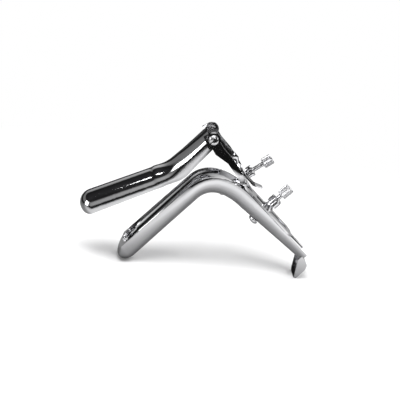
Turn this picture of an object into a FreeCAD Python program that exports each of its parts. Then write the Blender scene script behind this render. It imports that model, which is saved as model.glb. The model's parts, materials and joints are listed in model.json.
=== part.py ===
import FreeCAD, Part
import math
import os
import Sketcher

# Bivalve speculum, in millimetres.
# Working frame: pivot axis along Y through the origin, blades towards -X,
# Z square to the lower blade's rims, left side at -Y.

V = FreeCAD.Vector
Turn = FreeCAD.Rotation
Place = FreeCAD.Placement
doc = FreeCAD.newDocument("bivalve_speculum")
os.makedirs("parts", exist_ok=True)

sheet = doc.addObject("Spreadsheet::Sheet", "sizes")
cells = [
    ("sheet_thickness", "1.4", "wall of both blades"),
    ("lower_tip", "114.0", "pivot to the foremost point of the lower nose"),
    ("lower_nose_length", "9.4", "rounded end of the lower blade, along X"),
    ("lower_rim_drop", "15.2", "pivot down to the lower rims"),
    ("lower_depth", "13.3", "depth of the lower trough"),
    ("lower_half_width", "16.0", "half width of the lower blade"),
    ("lower_belly", "0.7", "extra depth of the lower trough near its tip"),
    ("rim_bend_start", "38.0", "pivot to the start of the mouth's curve"),
    ("belly_bend_start", "43.0", "pivot to the start of the bend below"),
    ("mouth_corner_x", "12.6", "control point of the mouth's curve"),
    ("mouth_corner_drop", "14.8", "control point of the mouth's curve"),
    ("bend_corner_x", "25.9", "control point of the bend"),
    ("bend_corner_drop", "27.0", "control point of the bend"),
    ("bend_bottom", "49.5", "where the bend has become the handle"),
    ("handle_back", "9.1", "pivot forward to the handle's back edges"),
    ("handle_depth_top", "13.4", "depth of the half tube under the bend"),
    ("handle_depth_low", "7.0", "depth of the half tube at its end"),
    ("handle_half_top", "11.0", "half width under the bend"),
    ("handle_half_low", "10.0", "half width at the end"),
    ("handle_end", "116.0", "pivot down to the end of the half tube"),
    ("tab_reach", "12.4", "foot tab, forward of the handle's front"),
    ("tab_drop", "8.6", "foot tab, below the handle's end"),
    ("tab_facet", "1.1", "flat on the tab's end that meets the floor"),
    ("tab_half_width", "9.0", "half width of the foot tab"),
    ("tab_corner", "3.2", "corner radius of the foot tab"),
    ("upper_tip", "110.6", "pivot to the foremost point of the upper nose"),
    ("upper_nose_length", "9.0", "rounded end of the upper blade"),
    ("upper_rim_drop", "20.1", "pivot down to the upper rims"),
    ("upper_depth", "12.6", "depth of the upper trough"),
    ("upper_lip", "5.0", "bulge of the upper nose below its rims"),
    ("upper_half_width", "14.3", "half width of the upper blade"),
    ("upper_crown_dip", "1.4", "hollow of the crown along its length"),
    ("mouth_half_width", "17.0", "half width at the ears"),
    ("flare_start", "40.0", "pivot to the start of the flare"),
    ("flare_height", "5.5", "top of the flare above the pivot"),
    ("ear_reach", "30.0", "pivot to the front of the ears"),
    ("ear_low", "6.4", "pivot down to the rear of the ear's edge"),
    ("ear_radius", "5.2", "round end of the ears"),
    ("blade_opening", "20.7", "angle between the blades at rest"),
    ("pivot_hole", "1.85", "radius of the ears' holes"),
    ("seat_radius", "4.2", "flat seat inside the ears for the washers"),
    ("screw_radius", "1.75", "radius of screws and rods"),
    ("screw_fit", "0.05", "radial play of a screw in its hole"),
    ("screw_head_radius", "3.6", "pivot screw head"),
    ("screw_head_height", "2.0", "pivot screw head"),
    ("slot_width", "0.9", "screwdriver slots"),
    ("slot_depth", "0.9", "screwdriver slots"),
    ("yoke_thickness", "1.3", "sheet of the yoke"),
    ("yoke_gap", "0.3", "play beside the yoke's strap and arms"),
    ("strap_half_width", "10.4", "half width of the strap"),
    ("strap_bottom", "97.5", "pivot down to the strap's end"),
    ("strap_top", "53.0", "pivot down to the shoulders"),
    ("strap_curl", "2.6", "curl of the strap's end"),
    ("slot_half", "3.1", "half width of the strap's slot"),
    ("slot_top", "58.0", "pivot down to the slot's upper end"),
    ("slot_bottom", "92.0", "pivot down to the slot's lower end"),
    ("arm_width", "4.6", "width of the arms"),
    ("arm_head_width", "7.6", "width of the arms under the pivot"),
    ("arm_head_radius", "5.0", "round end of the arms"),
    ("bolt_drop", "70.0", "pivot down to the height bolt"),
    ("bolt_head_radius", "3.9", "height bolt head"),
    ("bolt_head_height", "2.5", "height bolt head"),
    ("rod_end", "9.0", "end of the height rod behind the pivot"),
    ("collar_side", "5.8", "square collar in the slot"),
    ("washer_radius", "5.0", "dished washers"),
    ("washer_height", "3.6", "dished washer of the height rod"),
    ("nut_span", "17.0", "thumb nuts across their lobes"),
    ("nut_height", "6.6", "height nut along its rod"),
    ("nut_body", "4.3", "radius of the nuts' round body"),
    ("lobe_radius", "2.9", "lobes of the thumb nuts"),
    ("cap_radius", "3.9", "knurled caps"),
    ("cap_length", "8.8", "height cap"),
    ("cap_start", "6.6", "height cap's front, behind the pivot"),
    ("edge_break", "0.4", "small bevels"),
    ("angle_offset", "14.6", "angle rod beside the middle plane"),
    ("angle_foot_back", "6.2", "foot of the angle rod ahead of the pivot"),
    ("angle_foot_drop", "43.2", "foot of the angle rod below the pivot"),
    ("angle_tilt", "10.0", "slope of the angle rod"),
    ("angle_nut_height", "4.6", "angle nut along its rod"),
    ("angle_washer_height", "1.0", "domed washer of the angle rod"),
    ("angle_cap_start", "17.3", "angle cap's front from the foot"),
    ("angle_cap_length", "7.8", "angle cap"),
    ("lever_thickness", "1.3", "sheet of the thumb lever"),
    ("lever_gap", "0.4", "lever ahead of the yoke's shoulder"),
    ("lever_bottom", "53.0", "pivot down to the lever's end"),
    ("lever_half", "4.4", "half width of the lever's face"),
    ("rivet_radius", "1.4", "lever rivets"),
    ("rivet_head", "2.5", "lever rivet heads"),
    ("stud_radius", "2.3", "domed stud under the bend"),
    ("stud_height", "1.9", "domed stud under the bend"),
    ("stance", "49.3", "turn that sets the tool on its nose and tab"),
]
for row, (name, value, note) in enumerate(cells, 1):
    sheet.set("A%d" % row, name)
    sheet.set("B%d" % row, value)
    sheet.set("C%d" % row, note)
    sheet.setAlias("B%d" % row, name)
doc.recompute()


def size(name):
    return float(sheet.get(name))


def cell(name):
    return "sizes." + name



def bow_points(half, depth, power, steps=12):
    points = []
    for index in range(steps + 1):
        angle = math.pi * index / steps
        side = abs(math.cos(angle)) ** (2 / power) * half
        if index * 2 < steps:
            side = -side
        points.append((side, -abs(math.sin(angle)) ** (2 / power) * depth))
    points[0] = (-half, 0.0)
    points[-1] = (half, 0.0)
    return points


def spline_edge(points):
    curve = Part.BSplineCurve()
    curve.interpolate(points)
    return curve.toShape()


def section(rim, belly, half, depth, power, rise=0.0, over=0.0):
    # Closed trough section in the plane that holds Y and the line belly to rim.
    reach = math.dist(rim, belly)
    up = ((rim[0] - belly[0]) / reach, (rim[1] - belly[1]) / reach)

    def at(side, height):
        return V(rim[0] + up[0] * height, side, rim[1] + up[1] * height)

    bow = bow_points(half, depth, power)
    edges = [spline_edge([at(*point) for point in bow])]
    if over > 0:
        lid = [at(half, 0), at(half, over), at(-half, over), at(-half, 0)]
        edges += [Part.makeLine(a, b) for a, b in zip(lid, lid[1:])]
    elif rise > 0:
        lid = [at(-p[0], -p[1] * rise / depth) for p in bow_points(half, depth, 2)]
        edges.append(spline_edge(lid))
    else:
        edges.append(Part.makeLine(at(half, 0), at(-half, 0)))
    return Part.Wire(edges)


def mix(start, end, share):
    return start + (end - start) * share


def ease(share):
    return share * share * (3 - 2 * share)


def bend_point(start, corner, end, share):
    first = (mix(start[0], corner[0], share), mix(start[1], corner[1], share))
    second = (mix(corner[0], end[0], share), mix(corner[1], end[1], share))
    return (mix(first[0], second[0], share), mix(first[1], second[1], share))


def nose_wires(front, length, rim_z, low_z, half, power, lip=0.0):
    # Sections of a closed round nose, from its tip back to the trough.
    wires = []
    sign = 1 if rim_z > low_z else -1
    middle = mix(rim_z, low_z, 0.45)
    for angle in (84, 72, 56, 38, 18):
        swing = math.radians(angle)
        shrink = math.cos(swing)
        top = middle + (rim_z - middle) * shrink + sign * lip * math.sin(swing) * shrink
        bottom = middle + (low_z - middle) * shrink
        x = front + length * (1 - math.sin(swing))
        rise = 0.38 * abs(top - bottom) * math.sin(swing)
        rim = (x, top - sign * rise)
        reach = half * shrink ** 0.75
        wires.append(section(rim, (x, bottom), reach, abs(rim[1] - bottom), power, rise))
    return wires


def skin(groups, shrink, over, past):
    # Lofts group by group, so that straight runs stay straight.
    solids = []
    for number, group in enumerate(groups):
        wires = []
        for rim, low, reach, power in group:
            wires.append(section(rim, low, reach - shrink, math.dist(rim, low) - shrink, power, 0, over))
        if past > 0 and number == len(groups) - 1:
            rim, low, reach, power = group[-1]
            before = group[-2][0]
            run = math.dist(rim, before)
            step = ((rim[0] - before[0]) / run * past, (rim[1] - before[1]) / run * past)
            rim_past = (rim[0] + step[0], rim[1] + step[1])
            low_past = (low[0] + step[0], low[1] + step[1])
            deep = math.dist(rim, low) - shrink
            last = section(rim_past, low_past, reach - shrink, deep, power, 0, over)
            solids.append(Part.makeLoft([wires[-1], last], True, True))
        solids.append(Part.makeLoft(wires, True, len(wires) == 2))
    joined = solids[0]
    for solid in solids[1:]:
        joined = joined.fuse(solid)
    return joined


def trough(groups, front, nose, rim_z, low_z, half, power, wall, over, lip):
    # Outer skin less the inner hollow, the hollow open along the rims.
    start = groups[0][0]
    wires = nose_wires(front, nose, rim_z, low_z, half, power, lip)
    wires.append(section(start[0], start[1], start[2], math.dist(start[0], start[1]), power))
    outer = Part.makeLoft(wires, True, False).fuse(skin(groups, 0.0, 0.0, 0.0))
    sign = 1 if rim_z > low_z else -1
    window_run = 9.0
    mouth_x = front + nose + window_run
    first = groups[0]
    share = (mouth_x - first[0][0][0]) / (first[1][0][0] - first[0][0][0])
    rim = (mouth_x, mix(first[0][0][1], first[1][0][1], share))
    low = (mouth_x, mix(first[0][1][1], first[1][1][1], share))
    begin = (rim, low, mix(first[0][2], first[1][2], share), first[0][3])
    hollow = skin([[begin] + first[1:]] + groups[1:], wall, over, 2.0)
    inner_rim = rim_z - sign * wall
    inner_low = low_z + sign * wall
    tip_wires = nose_wires(front + wall, nose, inner_rim, inner_low, half - wall, power)
    deep = abs(inner_rim - inner_low)
    x = front + nose + wall
    tip_wires.append(section((x, inner_rim), (x, inner_low), half - wall, deep, power))
    pit = Part.makeLoft(tip_wires, True, False)
    low_end = mix(first[0][1][1], first[1][1][1], share) + sign * wall
    back = section((mouth_x + 0.5, inner_rim), (mouth_x + 0.5, low_end), half - wall, abs(inner_rim - low_end), power)
    pit = pit.fuse(Part.makeLoft([tip_wires[-1], back], True, True))
    oval = Part.Ellipse(V(0, half - wall - 0.1, 0), V(-window_run, 0, 0), V(0, 0, 0))
    window = Part.Face(Part.Wire(oval.toShape())).extrude(V(0, 0, sign * (wall * 1.5 + over)))
    window.translate(V(mouth_x, 0, inner_rim - sign * wall * 0.5))
    return outer.cut(hollow.fuse(pit).fuse(window))


def report(label, shape):
    print(label, shape.isValid(), len(shape.Solids), round(shape.Volume, 1))


wall = size("sheet_thickness")
over = 8.0

# Lower blade: closed nose, straight trough, bend and half-tube handle.
rim_z = -size("lower_rim_drop")
depth = size("lower_depth")
half = size("lower_half_width")
blade_power = 2.3
handle_power = 2.0
mouth_start = (-size("rim_bend_start"), rim_z)
mouth_corner = (-size("mouth_corner_x"), -size("mouth_corner_drop"))
mouth_end = (-size("handle_back"), -size("bend_bottom"))
belly_start = (-size("belly_bend_start"), rim_z - depth)
belly_corner = (-size("bend_corner_x"), -size("bend_corner_drop"))
belly_end = (mouth_end[0] - size("handle_depth_top"), mouth_end[1] - 1.0)
handle_end_z = -size("handle_end")
nose_back = -size("lower_tip") + size("lower_nose_length")

tip_low = rim_z - depth - size("lower_belly")
straight = [
    ((nose_back, rim_z), (nose_back, tip_low), half, blade_power),
    ((belly_start[0] - 3, rim_z), (belly_start[0] - 3, belly_start[1]), half, blade_power),
]
bend = []
bend_steps = 8
for step in range(bend_steps + 1):
    share = step / bend_steps
    rim = bend_point(mouth_start, mouth_corner, mouth_end, share)
    low = bend_point(belly_start, belly_corner, belly_end, share)
    reach = mix(half, size("handle_half_top"), ease(share))
    bend.append((rim, low, reach, mix(blade_power, handle_power, share)))
turn_in = [straight[-1], bend[0]]
rim = (mouth_end[0], belly_end[1] - 1)
tube_top = (rim, (rim[0] - size("handle_depth_top"), rim[1]), size("handle_half_top"), handle_power)
rim = (mouth_end[0], handle_end_z)
tube_end = (rim, (rim[0] - size("handle_depth_low"), rim[1]), size("handle_half_low"), handle_power)
lower_groups = [straight, turn_in, bend, [bend[-1], tube_top], [tube_top, tube_end]]
lower_shape = trough(lower_groups, -size("lower_tip"), size("lower_nose_length"), rim_z,
                     tip_low, half, blade_power, wall, over, 0.0)


def tube(radius, start, end):
    # Round bar from start to end.
    axis = end.sub(start)
    return Part.makeCylinder(radius, axis.Length, start, axis)


def side_plate(points, y_low, y_high):
    # Flat sheet parallel to the middle plane, outlined in X and Z.
    corners = [V(x, y_low, z) for x, z in points]
    wire = Part.makePolygon(corners + corners[:1])
    return Part.Face(wire).extrude(V(0, y_high - y_low, 0))


def strip_wire(x, y, z, width, thickness, turn, lean=0.0):
    # Cross section of a strip at height z; turn 0 faces back, 90 faces sideways.
    swing = math.radians(turn)
    along = V(math.sin(swing), math.cos(swing), 0)
    across = V(math.cos(swing), -math.sin(swing), 0)
    middle = V(x, y, z)
    corners = []
    for a, b in ((-1, -1), (1, -1), (1, 1), (-1, 1)):
        corner = middle + along * (a * width / 2) + across * (b * thickness / 2)
        corners.append(corner)
    return Part.makePolygon(corners + corners[:1])


def strip(rows, thickness):
    wires = [strip_wire(*row[:4], thickness, row[4]) for row in rows]
    solid = None
    for first, second in zip(wires, wires[1:]):
        piece = Part.makeLoft([first, second], True, True)
        solid = piece if solid is None else solid.fuse(piece)
    return solid.removeSplitter()


def mirrored(shape):
    return shape.mirror(V(0, 0, 0), V(0, 1, 0))


made = []


def keep(label, shape, local=None):
    # Sheet pieces whose skins are lofts.
    item = doc.addObject("Part::Feature", label)
    item.Label = label
    item.Shape = shape
    made.append((item, local or Place()))
    report(label, shape)
    return item


# Foot tab: a shallow tray bent forward from the handle's end.
tab_front_x = mouth_end[0] - size("handle_depth_low")
reach_x = tab_front_x - size("tab_reach")
tab_low_z = handle_end_z - size("tab_drop")
tab_half = size("tab_half_width")
facet = size("tab_facet")
heel = [
    (tab_front_x, handle_end_z + 1.5),
    (tab_front_x + 3.8, handle_end_z + 1.5),
    (tab_front_x + 3.4, handle_end_z - 2.6),
    (tab_front_x + 1.9, tab_low_z + 2.2),
    (tab_front_x - 1.6, tab_low_z + 0.5),
    (reach_x + facet, tab_low_z),
    (reach_x, tab_low_z + facet * math.tan(math.radians(size("stance")))),
]
tab = side_plate(heel, -tab_half, tab_half)
tray = [
    (tab_front_x - 0.6, handle_end_z + 3.0),
    (tab_front_x + 1.6, handle_end_z - 0.6),
    (tab_front_x + 1.7, handle_end_z - 3.0),
    (tab_front_x + 0.6, tab_low_z + 3.2),
    (tab_front_x - 2.0, tab_low_z + 0.5 + wall),
    (reach_x - 2.0, tab_low_z + 0.2 + wall),
    (reach_x - 2.0, handle_end_z),
]
tab = tab.cut(side_plate(tray, -tab_half + wall, tab_half - wall))
corner = size("tab_corner")
plan = Part.makeBox(60, 2 * tab_half, 30, V(reach_x, -tab_half, tab_low_z - 5))
upright = []
for edge in plan.Edges:
    box = edge.BoundBox
    if box.ZLength > 20 and abs(box.XMin - reach_x) < 0.01:
        upright.append(edge)
plan = plan.makeFillet(corner, upright)
tab = tab.common(plan)
lower_shape = lower_shape.fuse(tab)
bolt_z = -size("bolt_drop")
screw_r = size("screw_radius")
fit = size("screw_fit")
lower_shape = lower_shape.cut(tube(screw_r + fit, V(-40, 0, bolt_z), V(0, 0, bolt_z)))
stud_at = V(-24.6, 0, -38.2)
stud_axis = V(-0.83, 0, -0.56)
stud_axis.normalize()
lower_shape = lower_shape.cut(tube(screw_r / 2 + fit, stud_at - stud_axis * 5, stud_at + stud_axis * 5))
lower_shape = lower_shape.cut(tube(size("stud_radius") + fit, stud_at, stud_at + stud_axis * 5))
keep("lower_blade", lower_shape)

# Upper blade, in its own frame with the rims parallel to X.
up_rim = -size("upper_rim_drop")
crown = up_rim + size("upper_depth")
dip = size("upper_crown_dip")
up_half = size("upper_half_width")
ear_half = size("mouth_half_width")
up_tip = -size("upper_tip")
up_nose = size("upper_nose_length")
flare_x = -size("flare_start")
ear_x = -size("ear_reach")
up_straight = []
for share in (0.0, 1.0):
    x = mix(up_tip + up_nose, flare_x - 12, share)
    top = crown + dip * (1 - share)
    up_straight.append(((x, up_rim), (x, top), up_half, blade_power))
flare = [up_straight[-1]]
up_straight_end = flare_x - 12
flare_steps = 8
rear_x = -2.4
for step in range(1, flare_steps + 1):
    share = step / flare_steps
    x = mix(flare_x - 12, rear_x, share)
    climb = max(0.0, (x - flare_x) / (rear_x - flare_x))
    top = crown + (size("flare_height") - crown) * climb ** 1.15
    open_share = max(0.0, (x - ear_x) / (rear_x - ear_x))
    rim = up_rim + (-size("ear_low") - up_rim) * open_share ** 0.9
    reach = mix(up_half, ear_half - 0.1, ease(climb))
    flare.append(((x, rim), (x, top), reach, mix(blade_power, 3.4, share)))
upper_shape = trough([up_straight, flare], up_tip, up_nose, up_rim, crown + dip, up_half,
                     blade_power, wall, over, size("upper_lip"))
report("upper trough", upper_shape)
ear_r = size("ear_radius")
ear_ring = tube(ear_r, V(0, ear_half - wall, 0), V(0, ear_half, 0))
ear_web = side_plate([(-6.0, 4.6), (0, ear_r), (0, -ear_r), (-6.0, -5.6)], ear_half - wall, ear_half)
ears = ear_ring.fuse(ear_web)
upper_shape = upper_shape.fuse(ears).fuse(mirrored(ears))
pivot_r = size("pivot_hole")
upper_shape = upper_shape.cut(tube(pivot_r, V(0, -30, 0), V(0, 30, 0)))
for sign in (-1, 1):
    seat = V(0, sign * (ear_half - wall), 0)
    upper_shape = upper_shape.cut(tube(size("seat_radius"), seat - V(0, sign * 6, 0), seat))
opening = Place(V(0, 0, 0), Turn(V(0, 1, 0), size("blade_opening")))
rivet_r = size("rivet_radius")
rivet_spots = [(-7.9, 0.8), (-8.4, -5.6)]
open_back = opening.inverse()
for x, z in rivet_spots:
    start = open_back.multVec(V(x, 8, z))
    end = open_back.multVec(V(x, 30, z))
    upper_shape = upper_shape.cut(tube(rivet_r, start, end))
keep("upper_blade", upper_shape, opening)

# Yoke: slotted strap, shoulders and arms from one sheet.
sheet_y = size("yoke_thickness")
gap = size("yoke_gap")
strap_x = mouth_end[0] + gap + sheet_y / 2
strap_half = size("strap_half_width")
strap_top = -size("strap_top")
strap_low = -size("strap_bottom")
strap = Part.makeBox(sheet_y, 2 * strap_half, strap_top - strap_low,
                     V(strap_x - sheet_y / 2, -strap_half, strap_low))
foot_edges = []
for edge in strap.Edges:
    box = edge.BoundBox
    if box.XLength > sheet_y * 0.9 and box.YLength < 0.01 and abs(box.ZMin - strap_low) < 0.01:
        foot_edges.append(edge)
strap = strap.makeFillet(6.0, foot_edges)
slot_half = size("slot_half")
slot_box = Part.makeBox(10, 2 * slot_half, size("slot_bottom") - size("slot_top"),
                        V(strap_x - 5, -slot_half, -size("slot_bottom")))
strap = strap.cut(slot_box)
arm_y = ear_half + gap + sheet_y / 2
arm_w = size("arm_width")
head_w = size("arm_head_width")
foot_z = -size("angle_foot_drop")
foot_x = -size("angle_foot_back")
rod_y = size("angle_offset")
rows = [
    (strap_x, 6.2, strap_top - 2, 8.4, 0),
    (strap_x, 6.2, strap_top, 8.4, 0),
    (mix(strap_x, foot_x - sheet_y / 2, 0.5), mix(6.2, rod_y, 0.6), foot_z - 4.6, 8.4, 0),
    (foot_x - sheet_y / 2, rod_y, foot_z + 0.6, 8.2, 0),
    (foot_x + 0.3, rod_y + 1.4, foot_z + 3.4, 6.8, 28),
    (foot_x + 1.4, arm_y - 1.1, foot_z + 6.6, 5.6, 58),
    (-3.5, arm_y, foot_z + 10.6, arm_w, 90),
    (-1.5, arm_y, -20.0, arm_w + 0.4, 90),
    (-2.4, arm_y, -9.0, head_w, 90),
    (-1.0, arm_y, -3.0, head_w, 90),
]
arm = strip(rows, sheet_y)
head = tube(size("arm_head_radius"), V(0, arm_y - sheet_y / 2, 0), V(0, arm_y + sheet_y / 2, 0))
arm = arm.fuse(head)
yoke_shape = strap.fuse(arm).fuse(mirrored(arm))
yoke_shape = yoke_shape.cut(tube(screw_r + fit, V(0, -30, 0), V(0, 30, 0)))
rod_axis = V(math.cos(math.radians(size("angle_tilt"))), 0, -math.sin(math.radians(size("angle_tilt"))))
rod_foot = V(foot_x, rod_y, foot_z)
yoke_shape = yoke_shape.cut(tube(screw_r, rod_foot - rod_axis * 4, rod_foot + rod_axis * 2))
keep("yoke", yoke_shape)

# Thumb lever, on the inner side of the right ear.
lever_t = size("lever_thickness")
lever_y = ear_half - wall - lever_t / 2
lever_x = foot_x + size("lever_gap") + lever_t / 2
lever_rows = [
    (-4.6, lever_y, 3.4, 11.5, 90),
    (-4.8, lever_y, -8.6, 13.0, 90),
    (-2.6, lever_y, -18.0, 6.6, 90),
    (-1.6, lever_y, -26.0, 5.0, 90),
    (-2.0, lever_y - 0.5, -29.5, 5.4, 60),
    (-3.4, rod_y - 1.4, -33.0, 5.2, 22),
    (-4.1, rod_y - 2.0, -36.5, 4.8, 4),
    (lever_x + 0.9, rod_y - 1.8, -40.5, 5.2, 0),
    (lever_x, rod_y, foot_z + 0.3, 2 * size("lever_half"), 0),
    (lever_x, rod_y, -size("lever_bottom"), 2 * size("lever_half"), 0),
    (lever_x + 3.0, rod_y, -size("lever_bottom") - 6.5, 2 * size("lever_half") - 1.6, 0),
]
lever_shape = strip(lever_rows, lever_t)
lever_shape = lever_shape.cut(tube(screw_r + fit, V(0, 5, 0), V(0, 30, 0)))
for x, z in rivet_spots:
    lever_shape = lever_shape.cut(tube(rivet_r, V(x, 5, z), V(x, 30, z)))
rod_hole = Part.makeBox(20, 2 * screw_r + 0.5, 9.4, V(lever_x - 10, rod_y - screw_r - 0.25, foot_z - 6.0))
lever_shape = lever_shape.cut(rod_hole)
upper_there = upper_shape.copy()
upper_there.Placement = opening
pieces = lever_shape.cut(upper_there).Solids
pieces.sort(key=lambda piece: piece.Volume)
lever_shape = pieces[-1]
keep("thumb_lever", lever_shape)

rivets = []
for x, z in rivet_spots:
    inner = lever_y - lever_t / 2
    shank = tube(rivet_r, V(x, inner - 0.5, z), V(x, ear_half, z))
    dome = Part.makeSphere(size("rivet_head"), V(x, inner + 1.2, z))
    dome = dome.common(Part.makeBox(10, 10, 10, V(x - 5, inner - 10, z - 5)))
    rivets.append(shank.fuse(dome))
keep("lever_rivets", Part.makeCompound(rivets))


def aim(start, axis):
    # Places a turned body's Z along axis, from start.
    return Place(start, Turn(V(0, 0, 1), axis))


def body_on(label):
    body = doc.addObject("PartDesign::Body", label)
    body.Label = label
    return body


def plane_of(body, role):
    for item in body.Origin.OriginFeatures:
        if item.Role == role:
            return item
    raise RuntimeError("no plane " + role)


def sketch_in(body, name, role, lift=0.0):
    sketch = body.newObject("Sketcher::SketchObject", name)
    sketch.AttachmentSupport = [(plane_of(body, role), "")]
    sketch.MapMode = "FlatFace"
    sketch.AttachmentOffset = Place(V(0, 0, lift), Turn())
    sketch.Visibility = False
    return sketch


def turned(body, profile):
    # Revolved solid; the profile lists radius and height.
    sketch = sketch_in(body, body.Label + "_profile", "XZ_Plane")
    count = len(profile)
    for start, end in zip(profile, profile[1:] + profile[:1]):
        sketch.addGeometry(Part.LineSegment(V(*start, 0), V(*end, 0)), False)
    for index in range(count):
        following = (index + 1) % count
        sketch.addConstraint(Sketcher.Constraint("Coincident", index, 2, following, 1))
    spin = body.newObject("PartDesign::Revolution", body.Label + "_turned")
    spin.Profile = sketch
    spin.ReferenceAxis = (sketch, ["V_Axis"])
    spin.Angle = 360
    return spin


def slot_across(body, top, half_width, deep, reach):
    sketch = sketch_in(body, body.Label + "_slot_sketch", "XY_Plane", top)
    corners = [(-reach, -half_width), (reach, -half_width), (reach, half_width), (-reach, half_width)]
    for start, end in zip(corners, corners[1:] + corners[:1]):
        sketch.addGeometry(Part.LineSegment(V(*start, 0), V(*end, 0)), False)
    for index in range(4):
        sketch.addConstraint(Sketcher.Constraint("Coincident", index, 2, (index + 1) % 4, 1))
    cut = body.newObject("PartDesign::Pocket", body.Label + "_slot")
    cut.Profile = sketch
    cut.Length = deep
    return cut


def finish(body, local):
    doc.recompute()
    made.append((body, local))
    report(body.Label, body.Shape)


def domed(radius, height, shank_r, shank_end):
    # Domed head above zero, shank below it.
    flat = radius * 0.45
    profile = [(0, -shank_end), (shank_r, -shank_end), (shank_r, 0), (radius, 0)]
    profile += [(radius, height * 0.35), (radius * 0.93, height * 0.6), (radius * 0.75, height * 0.85)]
    profile += [(flat, height), (0, height)]
    return profile


slot_w = size("slot_width") / 2
slot_d = size("slot_depth")
screw_head_r = size("screw_head_radius")
screw_head_h = size("screw_head_height")
face_y = arm_y + sheet_y / 2
inner_left = ear_half - wall
inner_right = lever_y - lever_t / 2
play = 0.08
washer_t = 0.8
hex_t = 2.4
for side, inner, sign in (("left", inner_left, -1), ("right", inner_right, 1)):
    screw = body_on("pivot_screw_" + side)
    shank = face_y - inner + play + washer_t + hex_t + 0.6
    turned(screw, domed(screw_head_r, screw_head_h, screw_r, shank))
    slot_across(screw, screw_head_h, slot_w, slot_d, 6.0)
    finish(screw, aim(V(0, sign * face_y, 0), V(0, sign, 0)))
    ring = body_on("pivot_washer_" + side)
    turned(ring, [(screw_r, 0), (3.4, 0), (3.4, washer_t), (screw_r, washer_t)])
    finish(ring, aim(V(0, sign * (inner - play), 0), V(0, -sign, 0)))
    nut = body_on("pivot_nut_" + side)
    sketch = sketch_in(nut, nut.Label + "_outline", "XY_Plane")
    ring_points = [(3.3 * math.cos(math.radians(60 * k)), 3.3 * math.sin(math.radians(60 * k))) for k in range(6)]
    for start, end in zip(ring_points, ring_points[1:] + ring_points[:1]):
        sketch.addGeometry(Part.LineSegment(V(*start, 0), V(*end, 0)), False)
    for index in range(6):
        sketch.addConstraint(Sketcher.Constraint("Coincident", index, 2, (index + 1) % 6, 1))
    sketch.addGeometry(Part.Circle(V(0, 0, 0), V(0, 0, 1), screw_r), False)
    block = nut.newObject("PartDesign::Pad", nut.Label + "_pad")
    block.Profile = sketch
    block.Length = hex_t
    finish(nut, aim(V(0, sign * (inner - play - washer_t), 0), V(0, -sign, 0)))

# Height bolt along X, with collar, washer, nut and cap.
back = V(1, 0, 0)
head_r = size("bolt_head_radius")
head_h = size("bolt_head_height")
share = (size("bolt_drop") - size("bend_bottom") - 2) / (size("handle_end") - size("bend_bottom") - 2)
front_x = mouth_end[0] - mix(size("handle_depth_top"), size("handle_depth_low"), share) - 0.35
bolt = body_on("height_bolt")
turned(bolt, domed(head_r, head_h, screw_r, -front_x + size("rod_end")))
slot_across(bolt, head_h, slot_w, slot_d, 6.0)
finish(bolt, aim(V(front_x, 0, bolt_z), V(-1, 0, 0)))

collar = body_on("height_collar")
sketch = sketch_in(collar, "collar_outline", "XY_Plane")
half_side = size("collar_side") / 2
square = [(-half_side, -half_side), (half_side, -half_side), (half_side, half_side), (-half_side, half_side)]
for start, end in zip(square, square[1:] + square[:1]):
    sketch.addGeometry(Part.LineSegment(V(*start, 0), V(*end, 0)), False)
for index in range(4):
    sketch.addConstraint(Sketcher.Constraint("Coincident", index, 2, (index + 1) % 4, 1))
sketch.addGeometry(Part.Circle(V(0, 0, 0), V(0, 0, 1), screw_r), False)
block = collar.newObject("PartDesign::Pad", "collar_pad")
block.Profile = sketch
block.Length = 4.0
finish(collar, aim(V(strap_x + sheet_y / 2 - 4.3, 0, bolt_z), back))

washer_x = strap_x + sheet_y / 2 + fit
dish_r = size("washer_radius")
dish_h = size("washer_height")
washer = body_on("height_washer")
turned(washer, [(screw_r + fit, 0.9), (dish_r - 1.2, 0), (dish_r, 0), (dish_r, 0.9),
                (dish_r - 1.0, 2.0), (3.2, dish_h - 0.6), (3.0, dish_h), (screw_r + fit, dish_h)])
finish(washer, aim(V(washer_x, 0, bolt_z), back))


def thumb_nut(label, height):
    # Round body with two lobes and a bore.
    nut = body_on(label)
    body_r = size("nut_body")
    turned(nut, [(0, 0), (body_r - 0.5, 0), (body_r, 0.5), (body_r, height - 0.5), (body_r - 0.5, height), (0, height)])
    lobe_r = size("lobe_radius")
    lobe_y = size("nut_span") / 2 - lobe_r
    for number, sign in enumerate((-1, 1)):
        sketch = sketch_in(nut, "%s_lobe_%d" % (label, number), "XY_Plane", height * 0.12)
        sketch.addGeometry(Part.Circle(V(0, sign * lobe_y, 0), V(0, 0, 1), lobe_r), False)
        ear = nut.newObject("PartDesign::Pad", "%s_ear_%d" % (label, number))
        ear.Profile = sketch
        ear.Length = height * 0.76
    sketch = sketch_in(nut, label + "_bore_sketch", "XY_Plane")
    sketch.addGeometry(Part.Circle(V(0, 0, 0), V(0, 0, 1), screw_r + fit), False)
    bore = nut.newObject("PartDesign::Pocket", label + "_bore")
    bore.Profile = sketch
    bore.Length = height * 2
    bore.Midplane = True
    bore.Length = height * 4
    return nut


nut_h = size("nut_height")
nut = thumb_nut("height_nut", nut_h)
finish(nut, aim(V(washer_x + dish_h + fit, 0, bolt_z), back))


def cap(label, length, start, axis):
    body = body_on(label)
    r = size("cap_radius")
    e = size("edge_break")
    turned(body, [(screw_r, 0), (r - e, 0), (r, e), (r, length - e), (r - e, length), (0, length),
                  (0, length - 2.0), (screw_r, length - 2.0)])
    finish(body, aim(start, axis))


cap("height_cap", size("cap_length"), V(size("cap_start"), 0, bolt_z), back)

# Domed stud under the bend.
stud = body_on("bend_rivet")
turned(stud, domed(size("stud_radius"), size("stud_height"), screw_r / 2, 3.0))
finish(stud, aim(stud_at, stud_axis))

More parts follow.
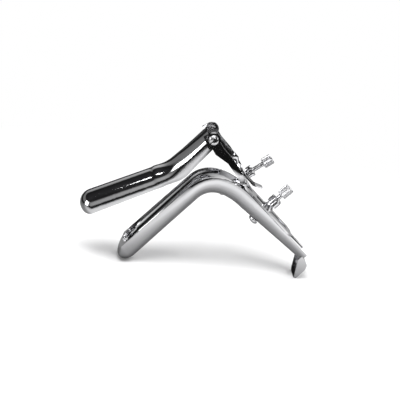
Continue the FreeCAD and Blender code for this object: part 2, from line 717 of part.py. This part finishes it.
# Angle rod on the right shoulder, with collar, washer, nut and cap.
rod_length = size("angle_cap_start") + size("angle_cap_length") - 2.0
rod = body_on("angle_rod")
ring_at = size("angle_cap_start") - 4.0
neck = screw_r - 0.3
turned(rod, [(0, -sheet_y - 1.9), (screw_r, -sheet_y - 1.9), (screw_r, ring_at), (neck, ring_at + 0.1),
             (neck, ring_at + 0.7), (screw_r, ring_at + 0.8), (screw_r, rod_length), (0, rod_length)])
finish(rod, aim(rod_foot, rod_axis))
foot = body_on("angle_collar")
turned(foot, [(screw_r, 0), (3.0, 0), (3.0, 0.9), (screw_r, 0.9)])
finish(foot, aim(rod_foot - rod_axis * (sheet_y + 1.75), rod_axis))
lever_back = (lever_x + lever_t / 2 - foot_x) / rod_axis.x + 0.75
angle_washer_h = size("angle_washer_height")
washer = body_on("angle_washer")
turned(washer, [(screw_r + fit, 0), (2.6, 0.05), (3.6, 0.5), (3.6, angle_washer_h), (screw_r + fit, angle_washer_h)])
finish(washer, aim(rod_foot + rod_axis * lever_back, rod_axis))
angle_nut_h = size("angle_nut_height")
nut = thumb_nut("angle_nut", angle_nut_h)
finish(nut, aim(rod_foot + rod_axis * (lever_back + angle_washer_h + fit), rod_axis))
cap("angle_cap", size("angle_cap_length"), rod_foot + rod_axis * size("angle_cap_start"), rod_axis)

# The whole tool is turned onto its nose and tab and set on the floor.
doc.recompute()
stand = Place(V(0, 0, 0), Turn(V(0, 1, 0), -size("stance")))
corners = []
for item, local in made:
    item.Placement = stand.multiply(local)
doc.recompute()
for item, local in made:
    points = item.Shape.tessellate(0.1)[0]
    corners += points
low = V(min(p.x for p in corners), min(p.y for p in corners), min(p.z for p in corners))
high = V(max(p.x for p in corners), max(p.y for p in corners), max(p.z for p in corners))
shift = V(-(low.x + high.x) / 2, -(low.y + high.y) / 2, -low.z)
stand = Place(shift, stand.Rotation)
for item, local in made:
    item.Placement = stand.multiply(local)
doc.recompute()
print("feet", min(p.z for p in corners if p.x < 0), min(p.z for p in corners if p.x > 40))
print("size", high.sub(low), "pivot", stand.multVec(V(0, 0, 0)))
print("bolt", stand.multVec(V(washer_x, 0, bolt_z)), "rod", stand.multVec(rod_foot), stand.Rotation.multVec(rod_axis))

for item in doc.Objects:
    if "Invalid" in item.State or "Error" in item.State:
        raise RuntimeError(item.Label + " did not build")
for item, local in made:
    shape = item.Shape
    if shape.isNull() or not shape.isValid():
        raise RuntimeError(item.Label + " is not a sound solid")
    shape.exportStep("parts/%s.step" % item.Label)
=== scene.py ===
import json
import math

import bpy
import bmesh
from mathutils import Matrix, Vector


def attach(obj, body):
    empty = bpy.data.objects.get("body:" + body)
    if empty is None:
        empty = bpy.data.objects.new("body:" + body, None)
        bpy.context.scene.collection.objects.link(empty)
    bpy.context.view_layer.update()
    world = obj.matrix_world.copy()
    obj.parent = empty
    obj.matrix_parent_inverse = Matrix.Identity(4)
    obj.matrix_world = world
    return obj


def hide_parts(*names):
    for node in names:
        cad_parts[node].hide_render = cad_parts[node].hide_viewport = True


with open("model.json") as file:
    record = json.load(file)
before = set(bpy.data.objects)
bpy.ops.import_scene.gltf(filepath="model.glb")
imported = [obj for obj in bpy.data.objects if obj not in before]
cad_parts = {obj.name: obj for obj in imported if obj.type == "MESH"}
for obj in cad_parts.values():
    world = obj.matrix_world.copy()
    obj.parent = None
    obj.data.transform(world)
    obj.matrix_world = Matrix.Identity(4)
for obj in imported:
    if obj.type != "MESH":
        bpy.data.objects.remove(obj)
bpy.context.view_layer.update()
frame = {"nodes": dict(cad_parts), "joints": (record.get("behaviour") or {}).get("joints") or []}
joints = {joint["name"]: joint for joint in frame["joints"]}
print("frame loaded")


def feed(tree, socket, value):
    # Links another node's output to the socket, or sets a plain value.
    if isinstance(value, bpy.types.NodeSocket):
        tree.links.new(value, socket)
    else:
        socket.default_value = value


def addNode(tree, kind, inputs=None, **settings):
    # Settings go first, because some of them change which inputs a node has.
    node = tree.nodes.new(kind)
    for key, value in settings.items():
        setattr(node, key, value)
    for key, value in (inputs or {}).items():
        feed(tree, node.inputs[key], value)
    return node


def mathNode(tree, operation, first, second=None):
    inputs = {0: first}
    if second is not None:
        inputs[1] = second
    return addNode(tree, "ShaderNodeMath", inputs, operation=operation).outputs[0]


def ranged(tree, value, fromRange, toRange=(0.0, 1.0)):
    # The value carried from one range to another and kept inside it.
    return addNode(tree, "ShaderNodeMapRange", {
        "Value": value,
        "From Min": fromRange[0],
        "From Max": fromRange[1],
        "To Min": toRange[0],
        "To Max": toRange[1],
    }).outputs["Result"]


# Steel. Roughness and tint drift slowly over a piece, and fine brushing runs along Y.
steelGrain = {
    "brushing": (900.0, 60.0, 900.0),  # how often the brushing repeats along each axis
    "fineScale": 3.0,
    "fineDetail": 6.0,
    "broadScale": 55.0,
    "broadDetail": 3.0,
    "broadRange": (0.3, 0.7),
    "glossShare": (0.75, 1.35),  # least and greatest roughness, as shares of the mean
    "worn": (0.93, 0.93, 0.94),  # tint of the duller areas, as a share of the full tint
    "wornAt": 0.35,
    "fullAt": 0.65,
    "scratchDepth": 0.00003,
}


def steelMaterial(name, tint, rough, scratch):
    material = bpy.data.materials.new(name)
    material.use_nodes = True
    tree = material.node_tree
    place = addNode(tree, "ShaderNodeTexCoord").outputs["Object"]
    brushed = addNode(tree, "ShaderNodeMapping", {"Vector": place, "Scale": steelGrain["brushing"]})
    fine = addNode(tree, "ShaderNodeTexNoise", {
        "Vector": brushed.outputs["Vector"],
        "Scale": steelGrain["fineScale"],
        "Detail": steelGrain["fineDetail"],
    }).outputs["Fac"]
    broad = addNode(tree, "ShaderNodeTexNoise", {
        "Vector": place,
        "Scale": steelGrain["broadScale"],
        "Detail": steelGrain["broadDetail"],
    }).outputs["Fac"]
    glossRange = [rough * share for share in steelGrain["glossShare"]]
    gloss = ranged(tree, broad, steelGrain["broadRange"], glossRange)
    tintRamp = addNode(tree, "ShaderNodeValToRGB", {"Fac": broad})
    worn, full = tintRamp.color_ramp.elements
    worn.position = steelGrain["wornAt"]
    worn.color = [value * share for value, share in zip(tint, steelGrain["worn"])] + [1]
    full.position = steelGrain["fullAt"]
    full.color = (*tint, 1)
    bump = addNode(tree, "ShaderNodeBump", {
        "Strength": scratch,
        "Distance": steelGrain["scratchDepth"],
        "Height": fine,
    })
    shader = tree.nodes["Principled BSDF"]
    feed(tree, shader.inputs["Metallic"], 1.0)
    feed(tree, shader.inputs["Base Color"], tintRamp.outputs["Color"])
    feed(tree, shader.inputs["Roughness"], gloss)
    feed(tree, shader.inputs["Normal"], bump.outputs["Normal"])
    return material


steels = {
    "mirrorSteel": {"tint": (0.80, 0.80, 0.81), "rough": 0.07, "scratch": 0.05},  # pressed sheet
    "turnedSteel": {"tint": (0.82, 0.82, 0.83), "rough": 0.11, "scratch": 0.08},  # screws, rods and nuts
    "satinSteel": {"tint": (0.78, 0.78, 0.79), "rough": 0.30, "scratch": 0.2},  # knurled caps
}
materials = {name: steelMaterial(name, **values) for name, values in steels.items()}
print("materials made", len(materials))

# Skins: every CAD piece again, with smooth faces and sharp edges.
bodyNames = {
    "lower_blade": "lower", "upper_blade": "upper", "yoke": "yoke_frame", "thumb_lever": "upper",
    "lever_rivets": "upper", "height_bolt": "lower", "height_collar": "lower", "height_cap": "lower",
    "bend_rivet": "lower", "height_washer": "height_clamp", "height_nut": "height_thumb_nut",
    "angle_washer": "angle_stop", "angle_nut": "angle_thumb_nut", "angle_rod": "yoke_frame",
    "angle_collar": "yoke_frame", "angle_cap": "yoke_frame",
}
for side in ("left", "right"):
    for kind in ("screw", "washer", "nut"):
        bodyNames["pivot_%s_%s" % (kind, side)] = "yoke_frame"
sheetNodes = ("lower_blade", "upper_blade", "yoke", "thumb_lever")
skinSizes = {
    "mergeWithin": 0.000002,
    "sharpFrom": math.radians(32.0),
    "openEdge": math.pi,  # the angle given to an edge that has no second face
}


def finishOf(nodeName):
    if nodeName in sheetNodes:
        return materials["mirrorSteel"], "sheet"
    if nodeName.endswith("_cap"):
        return materials["satinSteel"], "knurl"
    return materials["turnedSteel"], "turned"


def addPiece(name, mesh):
    piece = bpy.data.objects.new(name, mesh)
    bpy.context.scene.collection.objects.link(piece)
    return piece


def polished(nodeName):
    material, slotName = finishOf(nodeName)
    mesh = frame["nodes"][nodeName].data.copy()
    mesh.name = nodeName + "Mesh"
    work = bmesh.new()
    work.from_mesh(mesh)
    bmesh.ops.remove_doubles(work, verts=work.verts, dist=skinSizes["mergeWithin"])
    for face in work.faces:
        face.smooth = True
    for edge in work.edges:
        edge.smooth = edge.calc_face_angle(skinSizes["openEdge"]) < skinSizes["sharpFrom"]
    work.to_mesh(mesh)
    work.free()
    if "custom_normal" in mesh.attributes:
        mesh.attributes.remove(mesh.attributes["custom_normal"])
    mesh.materials.clear()
    mesh.materials.append(material)
    piece = addPiece(nodeName + "Skin", mesh)
    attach(piece, bodyNames[nodeName])
    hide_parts(nodeName)


for nodeName in bodyNames:
    polished(nodeName)
print("skins made", len(bodyNames))


meshSteps = {"knurlTooth": 4, "threadTurn": 28, "threadRidge": 6}  # points round each form


def newTree(name, floats, integers=()):
    # A node group with named sizes; Geometry comes first and Material last.
    tree = bpy.data.node_groups.new(name, "GeometryNodeTree")
    tree.interface.new_socket("Geometry", in_out="INPUT", socket_type="NodeSocketGeometry")
    for item in floats:
        tree.interface.new_socket(item, in_out="INPUT", socket_type="NodeSocketFloat")
    for item in integers:
        tree.interface.new_socket(item, in_out="INPUT", socket_type="NodeSocketInt")
    tree.interface.new_socket("Material", in_out="INPUT", socket_type="NodeSocketMaterial")
    tree.interface.new_socket("Geometry", in_out="OUTPUT", socket_type="NodeSocketGeometry")
    return tree, tree.nodes.new("NodeGroupInput").outputs


def closeTree(tree, given, geometry):
    # Every tree ends in real geometry that has its material.
    real = addNode(tree, "GeometryNodeRealizeInstances", {"Geometry": geometry})
    paint = addNode(tree, "GeometryNodeSetMaterial", {
        "Geometry": real.outputs["Geometry"],
        "Material": given["Material"],
    })
    addNode(tree, "NodeGroupOutput", {"Geometry": paint.outputs["Geometry"]})


def knurlTree():
    # Rows of small pyramids wrapped round a cylinder, each row half a step on.
    tree, given = newTree("knurlPattern", ("Radius", "Length", "Tooth", "Rise"), ("Around", "Along"))
    stepAround = mathNode(tree, "DIVIDE", math.tau, given["Around"])
    gaps = mathNode(tree, "SUBTRACT", given["Along"], 1.0)
    stepAlong = mathNode(tree, "DIVIDE", given["Length"], gaps)
    grid = addNode(tree, "GeometryNodeMeshGrid", {
        "Size X": mathNode(tree, "SUBTRACT", math.tau, stepAround),
        "Size Y": given["Length"],
        "Vertices X": given["Around"],
        "Vertices Y": given["Along"],
    })
    flat = addNode(tree, "ShaderNodeSeparateXYZ", {0: addNode(tree, "GeometryNodeInputPosition").outputs[0]})
    halfStep = mathNode(tree, "MULTIPLY", stepAround, 0.5)
    slant = mathNode(tree, "DIVIDE", halfStep, stepAlong)
    turn = mathNode(tree, "ADD", flat.outputs["X"], mathNode(tree, "MULTIPLY", flat.outputs["Y"], slant))
    cosine = mathNode(tree, "COSINE", turn)
    sine = mathNode(tree, "SINE", turn)
    outward = addNode(tree, "ShaderNodeCombineXYZ", {"X": cosine, "Y": sine})
    onCylinder = addNode(tree, "ShaderNodeCombineXYZ", {
        "X": mathNode(tree, "MULTIPLY", cosine, given["Radius"]),
        "Y": mathNode(tree, "MULTIPLY", sine, given["Radius"]),
        "Z": flat.outputs["Y"],
    })
    kept = addNode(tree, "GeometryNodeCaptureAttribute")  # outward is read before the points move
    kept.capture_items.new("VECTOR", "outward")
    feed(tree, kept.inputs["Geometry"], grid.outputs["Mesh"])
    feed(tree, kept.inputs[1], outward.outputs[0])
    wrap = addNode(tree, "GeometryNodeSetPosition", {
        "Geometry": kept.outputs["Geometry"],
        "Position": onCylinder.outputs[0],
    })
    tooth = addNode(tree, "GeometryNodeMeshCone", {
        "Vertices": meshSteps["knurlTooth"],
        "Radius Top": 0.0,
        "Radius Bottom": given["Tooth"],
        "Depth": given["Rise"],
    })
    aim = addNode(tree, "FunctionNodeAlignRotationToVector", {"Vector": kept.outputs[1]}, axis="Z")
    copies = addNode(tree, "GeometryNodeInstanceOnPoints", {
        "Points": wrap.outputs["Geometry"],
        "Instance": tooth.outputs["Mesh"],
        "Rotation": aim.outputs["Rotation"],
    })
    closeTree(tree, given, copies.outputs["Instances"])
    return tree


def threadTree():
    # One helical ridge of round section, with closed ends.
    tree, given = newTree("threadRidge", ("Radius", "Length", "Turns", "Ridge"))
    helix = addNode(tree, "GeometryNodeCurveSpiral", {
        "Resolution": meshSteps["threadTurn"],
        "Rotations": given["Turns"],
        "Start Radius": given["Radius"],
        "End Radius": given["Radius"],
        "Height": given["Length"],
    })
    wire = addNode(tree, "GeometryNodeCurvePrimitiveCircle", {
        "Resolution": meshSteps["threadRidge"],
        "Radius": given["Ridge"],
    })
    solid = addNode(tree, "GeometryNodeCurveToMesh", {
        "Curve": helix.outputs["Curve"],
        "Profile Curve": wire.outputs["Curve"],
        "Fill Caps": True,
    })
    closeTree(tree, given, solid.outputs["Mesh"])
    return tree


def grown(name, tree, sizes, material):
    # Runs the tree, keeps its plain mesh and sets it on the axis of a screw joint.
    joint = joints[sizes["joint"]]
    axis = Vector(joint["axis"])
    start = Vector(joint["pos_m"]) + axis * sizes["offset"]
    body = sizes["body"]
    holder = addPiece(name + "Holder", bpy.data.meshes.new(name + "Seed"))
    modifier = holder.modifiers.new("grow", "NODES")
    modifier.node_group = tree
    values = dict(sizes, Material=material)
    for item in tree.interface.items_tree:
        if item.in_out == "INPUT" and item.name in values:
            modifier[item.identifier] = values[item.name]
    bpy.context.view_layer.update()
    depsgraph = bpy.context.evaluated_depsgraph_get()
    mesh = bpy.data.meshes.new_from_object(holder.evaluated_get(depsgraph))
    holder.modifiers.clear()
    bpy.data.objects.remove(holder)
    if not mesh.materials:
        mesh.materials.append(material)
    turn = axis.to_track_quat("Z", "Y").to_matrix().to_4x4()
    mesh.transform(Matrix.Translation(start) @ turn)
    piece = addPiece(name, mesh)
    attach(piece, body)


# Knurls, centred on their caps. The offset is along the joint's axis from its point.
knurlSizes = {"Radius": 0.00386, "Tooth": 0.00030, "Rise": 0.00016, "Around": 44}
capKnurls = {
    "heightCapKnurl": {
        **knurlSizes, "Length": 0.0074, "Along": 27,
        "joint": "height_nut_spin", "offset": 0.0110, "body": "lower",
    },
    "angleCapKnurl": {
        **knurlSizes, "Length": 0.0064, "Along": 23,
        "joint": "angle_nut_spin", "offset": 0.0212, "body": "yoke_frame",
    },
}
knurl = knurlTree()
for name, sizes in capKnurls.items():
    grown(name, knurl, sizes, materials["satinSteel"])
print("knurls made")

# Threads, from the foot of each rod to its cap.
threadSizes = {"Radius": 0.00160, "Ridge": 0.00019}
rodThreads = {
    "heightThread": {
        **threadSizes, "Length": 0.0138, "Turns": 19.7,
        "joint": "height_nut_spin", "offset": -0.0072, "body": "lower",
    },
    "angleThread": {
        **threadSizes, "Length": 0.0162, "Turns": 23.1,
        "joint": "angle_nut_spin", "offset": 0.0009, "body": "yoke_frame",
    },
}
thread = threadTree()
for name, sizes in rodThreads.items():
    grown(name, thread, sizes, materials["turnedSteel"])
print("threads made")

# Floor. Glossy rays see a second floor, which gives the steel its dark and bright bands.
floorLook = {
    "size": 60,
    "drop": 0.00005,  # keeps the floor just under the feet
    "paper": (0.94, 0.94, 0.94, 1),
    "roughness": 0.9,
    "toTheRight": ((-0.30, 0.16), (0.24, 0.70)),  # X range, and the grey at each end
    "awayFromTool": ((-0.015, -0.08), (0.45, 1.3)),  # Y range, and the share of that grey
    "darkFromX": (-0.05, 0.02),  # the corner that the strap mirrors
    "darkFromY": (-0.12, -0.22),
    "darkCorner": (0.006, 0.006, 0.006, 1),
    "whiteFrom": (0.20, 0.40),  # distance at which the seen floor turns plain white
}


def floorPaper():
    material = bpy.data.materials.new("floorPaper")
    material.use_nodes = True
    tree = material.node_tree
    place = addNode(tree, "ShaderNodeTexCoord").outputs["Object"]
    axes = addNode(tree, "ShaderNodeSeparateXYZ", {"Vector": place})
    rays = addNode(tree, "ShaderNodeLightPath").outputs
    paper = tree.nodes["Principled BSDF"]
    feed(tree, paper.inputs["Base Color"], floorLook["paper"])
    feed(tree, paper.inputs["Roughness"], floorLook["roughness"])
    grey = mathNode(
        tree, "MULTIPLY",
        ranged(tree, axes.outputs["X"], *floorLook["toTheRight"]),
        ranged(tree, axes.outputs["Y"], *floorLook["awayFromTool"]))
    corner = mathNode(
        tree, "MULTIPLY",
        ranged(tree, axes.outputs["X"], floorLook["darkFromX"]),
        ranged(tree, axes.outputs["Y"], floorLook["darkFromY"]))
    tint = addNode(tree, "ShaderNodeMix", data_type="RGBA")
    colours = [socket for socket in tint.inputs if socket.type == "RGBA"]
    feed(tree, tint.inputs[0], corner)
    feed(tree, colours[0], grey)
    feed(tree, colours[1], floorLook["darkCorner"])
    tinted = [socket for socket in tint.outputs if socket.type == "RGBA"][0]
    mirrored = addNode(tree, "ShaderNodeBsdfDiffuse", {"Color": tinted})
    nearFloor = addNode(tree, "ShaderNodeMixShader", {
        "Fac": rays["Is Glossy Ray"],
        1: paper.outputs["BSDF"],
        2: mirrored.outputs["BSDF"],
    })
    reach = addNode(tree, "ShaderNodeVectorMath", {0: place}, operation="LENGTH").outputs["Value"]
    farOff = ranged(tree, reach, floorLook["whiteFrom"])
    wholeFloor = addNode(tree, "ShaderNodeMixShader", {
        "Fac": mathNode(tree, "MULTIPLY", rays["Is Camera Ray"], farOff),
        1: nearFloor.outputs["Shader"],
        2: addNode(tree, "ShaderNodeEmission").outputs["Emission"],
    })
    feed(tree, tree.nodes["Material Output"].inputs["Surface"], wholeFloor.outputs["Shader"])
    return material


bpy.ops.mesh.primitive_plane_add(size=floorLook["size"], location=(0, 0, -floorLook["drop"]))
floor = bpy.context.object
floor.name = "floor"
floor.data.materials.append(floorPaper())
print("floor made")

# Lights. Width, height and power in metres and watts.
lights = {
    "topLight": {"place": (-0.15, -0.25, 0.9), "width": 0.8, "height": 0.5, "power": 9},
    "backLight": {"place": (0.5, 0.7, 0.55), "width": 0.5, "height": 0.7, "power": 5},
    "sideLight": {"place": (-0.9, -0.5, 0.35), "width": 0.5, "height": 0.5, "power": 3},
}
lightTarget = Vector((0, 0, 0.05))


def areaLight(name, place, width, height, power):
    data = bpy.data.lights.new(name, "AREA")
    data.shape = "RECTANGLE"
    data.size = width
    data.size_y = height
    data.energy = power
    lamp = bpy.data.objects.new(name, data)
    lamp.location = place
    lamp.rotation_euler = (lightTarget - Vector(place)).to_track_quat("-Z", "Y").to_euler()
    bpy.context.scene.collection.objects.link(lamp)
    return lamp


for name, values in lights.items():
    areaLight(name, **values)

# Sky. Grey bands by height, mirrored in the steel; the camera itself sees plain white.
skyLook = {
    "floorSide": (0.3, 0.3, 0.3, 1),
    "zenith": (0.16, 0.16, 0.17, 1),
    "bands": ((0.495, 0.55), (0.505, 0.03), (0.57, 0.02), (0.61, 0.75), (0.72, 1.0), (0.78, 0.04)),
    "towardsHandle": ((-0.55, 0.35), (0.20, 1.35)),  # X range, and the strength at each end
    "seen": (1, 1, 1, 1),
}


def studioWorld():
    world = bpy.data.worlds.new("studio")
    world.use_nodes = True
    tree = world.node_tree
    direction = addNode(tree, "ShaderNodeTexCoord").outputs["Generated"]
    axes = addNode(tree, "ShaderNodeSeparateXYZ", {"Vector": direction})
    bands = addNode(tree, "ShaderNodeValToRGB", {"Fac": ranged(tree, axes.outputs["Z"], (-1, 1))})
    lowest, highest = bands.color_ramp.elements
    lowest.position = 0.0
    lowest.color = skyLook["floorSide"]
    highest.position = 1.0
    highest.color = skyLook["zenith"]
    for position, grey in skyLook["bands"]:
        bands.color_ramp.elements.new(position).color = (grey, grey, grey, 1)
    mirrored = tree.nodes["Background"]
    feed(tree, mirrored.inputs["Color"], bands.outputs["Color"])
    feed(tree, mirrored.inputs["Strength"], ranged(tree, axes.outputs["X"], *skyLook["towardsHandle"]))
    seen = addNode(tree, "ShaderNodeBackground", {"Color": skyLook["seen"]})
    whole = addNode(tree, "ShaderNodeMixShader", {
        "Fac": addNode(tree, "ShaderNodeLightPath").outputs["Is Camera Ray"],
        1: mirrored.outputs["Background"],
        2: seen.outputs["Background"],
    })
    feed(tree, tree.nodes["World Output"].inputs["Surface"], whole.outputs["Shader"])
    return world


bpy.context.scene.world = studioWorld()
print("lights and sky made")

# Camera, aimed at the pivot from the near side. The shifts are pixels of the photograph.
cameraLook = {
    "azimuth": math.radians(-4.0),
    "elevation": math.radians(13.5),
    "roll": math.radians(7.8),
    "distance": 0.65,
    "lens": 79.6,
    "sensor": 36,
    "photoWidth": 400,
    "shift": (-12.8, -66.0),
}
cameraData = bpy.data.cameras.new("camera")
cameraData.lens = cameraLook["lens"]
cameraData.sensor_width = cameraLook["sensor"]
cameraData.shift_x, cameraData.shift_y = [pixels / cameraLook["photoWidth"] for pixels in cameraLook["shift"]]
camera = bpy.data.objects.new("camera", cameraData)
bpy.context.scene.collection.objects.link(camera)
level = math.cos(cameraLook["elevation"])
offset = Vector((
    math.sin(cameraLook["azimuth"]) * level,
    -math.cos(cameraLook["azimuth"]) * level,
    math.sin(cameraLook["elevation"]),
))
camera.location = Vector(joints["blade_hinge"]["pos_m"]) + offset * cameraLook["distance"]
look = (-offset).to_track_quat("-Z", "Y").to_matrix()
camera.rotation_euler = (look @ Matrix.Rotation(cameraLook["roll"], 3, "Z")).to_euler()
bpy.context.scene.camera = camera
bpy.context.scene.view_settings.view_transform = "Standard"
print("camera set")
